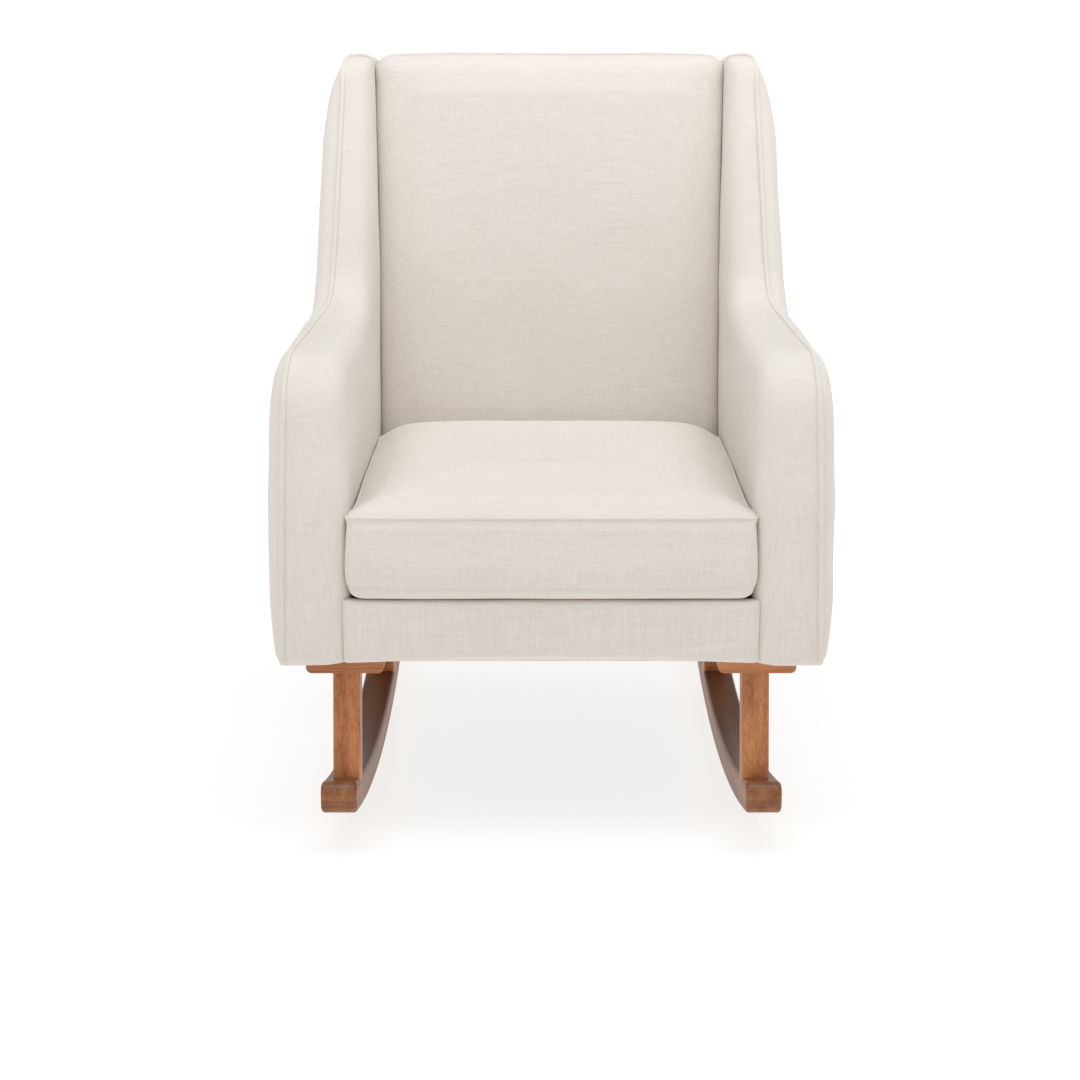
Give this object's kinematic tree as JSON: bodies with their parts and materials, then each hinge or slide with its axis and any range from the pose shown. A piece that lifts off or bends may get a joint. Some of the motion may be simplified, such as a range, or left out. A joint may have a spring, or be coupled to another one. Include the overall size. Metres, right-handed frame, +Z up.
{
  "type": "upholstered rocking nursery chair",
  "caption": "High-backed, winged, upholstered nursery rocking chair with a loose boxed seat cushion, on curved wooden runners.",
  "frame": {"origin": "on the floor, at the middle of the chair's bounding box", "axes": "+Z up, -Y towards the front of the seat, +X across the chair"},
  "size_m": [0.7402, 0.88, 1.0295],
  "materials": {
    "dust_cloth": "matte",
    "frame_timber": "matte",
    "linen_cover": "matte",
    "plywood": "matte",
    "spring_steel": "satin",
    "stained_beech": "satin",
    "webbing_cloth": "matte",
    "zinc_steel": "satin"
  },
  "bodies": {
    "chair": {"back_lower_rail": "frame_timber", "back_pad": "linen_cover", "back_top_rail": "frame_timber", "back_webbing": "webbing_cloth", "corner_blocks": "frame_timber", "deck_pad": "dust_cloth", "dust_cover": "dust_cloth", "frame_bolts": "zinc_steel", "frame_nuts": "zinc_steel", "front_apron": "linen_cover", "front_rail": "frame_timber", "left_arm_and_wing": "linen_cover", "left_back_post": "frame_timber", "left_front_leg": "stained_beech", "left_front_plate": "stained_beech", "left_inner_panel": "plywood", "left_outer_panel": "plywood", "left_rear_leg": "stained_beech", "left_rear_plate": "stained_beech", "left_runner": "stained_beech", "left_side_battens": "frame_timber", "left_side_rail": "frame_timber", "leg_screws": "zinc_steel", "outside_back": "linen_cover", "plate_bolts": "zinc_steel", "plate_washers": "zinc_steel", "rear_rail": "frame_timber", "right_arm_and_wing": "linen_cover", "right_back_post": "frame_timber", "right_front_leg": "stained_beech", "right_front_plate": "stained_beech", "right_inner_panel": "plywood", "right_outer_panel": "plywood", "right_rear_leg": "stained_beech", "right_rear_plate": "stained_beech", "right_runner": "stained_beech", "right_side_battens": "frame_timber", "right_side_rail": "frame_timber", "runner_bolts": "zinc_steel", "seat_springs": "spring_steel", "spring_clips": "spring_steel", "threaded_inserts": "zinc_steel"},
    "cushion": {"seat_cushion": "linen_cover"}
  },
  "joints": [
    {"name": "cushion_lift", "type": "slide", "parent": "chair", "child": "cushion", "axis": [0, 0, 1], "range_m": [0, 0.25]}
  ]
}
